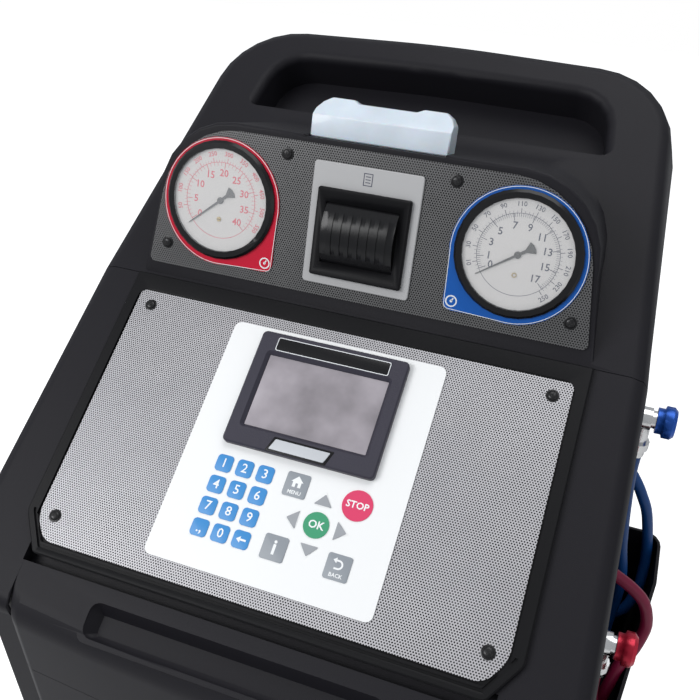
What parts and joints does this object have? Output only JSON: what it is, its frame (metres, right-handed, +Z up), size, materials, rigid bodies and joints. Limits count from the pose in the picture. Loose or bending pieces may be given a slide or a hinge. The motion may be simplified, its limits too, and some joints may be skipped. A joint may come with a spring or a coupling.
{
  "type": "ac service station",
  "caption": "Wheeled cabinet with a sloping keypad console, two dial gauges, a printer, a top grip recess and two coiled service hoses with quick couplers in a side bin.",
  "frame": {"origin": "centre of the footprint on the floor, midway between the sides and between the front and the rear wheels", "axes": "+Z up, the console faces -Y, +X is on the right of a person in front of it, where the hoses hang"},
  "size_m": [0.623, 0.6017, 1.0559],
  "materials": {
    "aluminium_fin": "bare, satin",
    "bezel_charcoal": "textured charcoal",
    "blue_anodised_knob": "colour anodised, satin",
    "blue_enamel": "blue print, satin",
    "blue_hose_rubber": "smooth charging hose, satin",
    "board_green": "green solder mask",
    "brass": "turned, slightly dulled",
    "casing_black": "fine grained near-black moulding",
    "clear_glass": "clear, polished",
    "console_charcoal": "fine texture, charcoal",
    "copper": "bare copper shell",
    "dial_white": "white lacquer with printed scales",
    "frosted_lens": "frosted bluish white",
    "gloss_black": "glossy black",
    "membrane_white": "white membrane, satin",
    "painted_steel": "black powder coat, semi-gloss",
    "paper": "thermal paper, uncoated white",
    "perforated_steel": "perforated sheet, satin",
    "red_anodised_knob": "colour anodised, satin",
    "red_enamel": "red print, satin",
    "red_hose_rubber": "smooth charging hose, satin",
    "screen_glass": "grey, reflective, unlit",
    "surround_grey": "light grey, satin",
    "tank_blue": "blue-grey enamel",
    "tyre_rubber": "solid black rubber",
    "zinc_steel": "zinc plated, satin"
  },
  "bodies": {
    "station": {"base_tray": "painted_steel", "blue_coupler": "zinc_steel", "blue_hose_coil": "blue_hose_rubber", "blue_hose_drop": "blue_hose_rubber", "blue_hose_outlet": "brass", "blue_hose_rise": "blue_hose_rubber", "compressor": "gloss_black", "condenser": "aluminium_fin", "console_frame": "console_charcoal", "console_plate": "perforated_steel", "control_board": "board_green", "display_bezel": "bezel_charcoal", "display_screen": "screen_glass", "filter_drier": "copper", "front_casing": "casing_black", "gauge_plate": "perforated_steel", "high_gauge_badge": "blue_enamel", "high_gauge_case": "gloss_black", "high_gauge_dial": "dial_white", "high_gauge_lens": "clear_glass", "hose_bin": "casing_black", "inner_shelf": "zinc_steel", "keypad_membrane": "membrane_white", "left_side_panel": "casing_black", "low_gauge_badge": "red_enamel", "low_gauge_case": "gloss_black", "low_gauge_dial": "dial_white", "low_gauge_lens": "clear_glass", "lower_front_cover": "casing_black", "mains_inlet": "gloss_black", "paper_roll": "paper", "printer_body": "bezel_charcoal", "printer_surround": "surround_grey", "rear_axle": "zinc_steel", "rear_cover": "painted_steel", "red_coupler": "zinc_steel", "red_hose_coil": "red_hose_rubber", "red_hose_drop": "red_hose_rubber", "red_hose_outlet": "brass", "red_hose_rise": "red_hose_rubber", "refrigerant_tank": "tank_blue", "right_side_panel": "casing_black", "status_light": "frosted_lens", "tank_scale": "zinc_steel", "upper_casing": "casing_black", "vacuum_pump": "aluminium_fin", "valve_manifold": "aluminium_fin"},
    "left_rear_wheel": {"left_rear_wheel": "tyre_rubber"},
    "right_rear_wheel": {"right_rear_wheel": "tyre_rubber"},
    "left_caster_swivel": {"left_caster_fork": "zinc_steel"},
    "right_caster_swivel": {"right_caster_fork": "zinc_steel"},
    "left_caster_roller": {"left_caster_wheel": "tyre_rubber"},
    "right_caster_roller": {"right_caster_wheel": "tyre_rubber"},
    "low_pointer": {"low_gauge_pointer": "gloss_black"},
    "high_pointer": {"high_gauge_pointer": "gloss_black"},
    "printer_lid": {"printer_door": "gloss_black"},
    "fan_rotor": {"cooling_fan": "gloss_black"},
    "blue_coupler_handwheel": {"blue_coupler_knob": "blue_anodised_knob"},
    "red_coupler_handwheel": {"red_coupler_knob": "red_anodised_knob"},
    "switch_rocker": {"power_switch": "gloss_black"}
  },
  "joints": [
    {"name": "left_rear_wheel_spin", "type": "hinge", "parent": "station", "child": "left_rear_wheel", "pos_m": [-0.2845, 0.176, 0.125], "axis": [1, 0, 0], "continuous": true},
    {"name": "right_rear_wheel_spin", "type": "hinge", "parent": "station", "child": "right_rear_wheel", "pos_m": [0.2845, 0.176, 0.125], "axis": [1, 0, 0], "continuous": true},
    {"name": "left_caster_turn", "type": "hinge", "parent": "station", "child": "left_caster_swivel", "pos_m": [-0.178, -0.205, 0.09], "axis": [0, 0, 1], "continuous": true},
    {"name": "right_caster_turn", "type": "hinge", "parent": "station", "child": "right_caster_swivel", "pos_m": [0.178, -0.205, 0.09], "axis": [0, 0, 1], "continuous": true},
    {"name": "left_caster_roll", "type": "hinge", "parent": "left_caster_swivel", "child": "left_caster_roller", "pos_m": [-0.178, -0.173, 0.04], "axis": [1, 0, 0], "continuous": true},
    {"name": "right_caster_roll", "type": "hinge", "parent": "right_caster_swivel", "child": "right_caster_roller", "pos_m": [0.178, -0.173, 0.04], "axis": [1, 0, 0], "continuous": true},
    {"name": "low_pointer_turn", "type": "hinge", "parent": "station", "child": "low_pointer", "pos_m": [-0.1327, 0.007, 0.9726], "axis": [0, 0.9415, -0.3371], "range_deg": [-8, 262], "stiffness_Nm_per_rad": 0.004},
    {"name": "high_pointer_turn", "type": "hinge", "parent": "station", "child": "high_pointer", "pos_m": [0.1327, 0.007, 0.9726], "axis": [0, 0.9415, -0.3371], "range_deg": [-8, 262], "stiffness_Nm_per_rad": 0.004},
    {"name": "printer_lid_hinge", "type": "hinge", "parent": "station", "child": "printer_lid", "pos_m": [0, -0.0098, 0.9415], "axis": [1, 0, 0], "range_deg": [0, 95]},
    {"name": "blue_handwheel_turn", "type": "hinge", "parent": "station", "child": "blue_coupler_handwheel", "pos_m": [0.276, 0.0191, 0.8308], "axis": [1, 0, 0], "range_deg": [0, 720]},
    {"name": "red_handwheel_turn", "type": "hinge", "parent": "station", "child": "red_coupler_handwheel", "pos_m": [0.282, -0.1199, 0.6989], "axis": [1, 0, 0], "range_deg": [0, 720]},
    {"name": "fan_spin", "type": "hinge", "parent": "station", "child": "fan_rotor", "pos_m": [0, 0.1645, 0.295], "axis": [0, 1, 0], "continuous": true},
    {"name": "power_switch_rock", "type": "hinge", "parent": "station", "child": "switch_rocker", "pos_m": [0.16, 0.2196, 0.5], "axis": [1, 0, 0], "range_deg": [0, 14]}
  ]
}
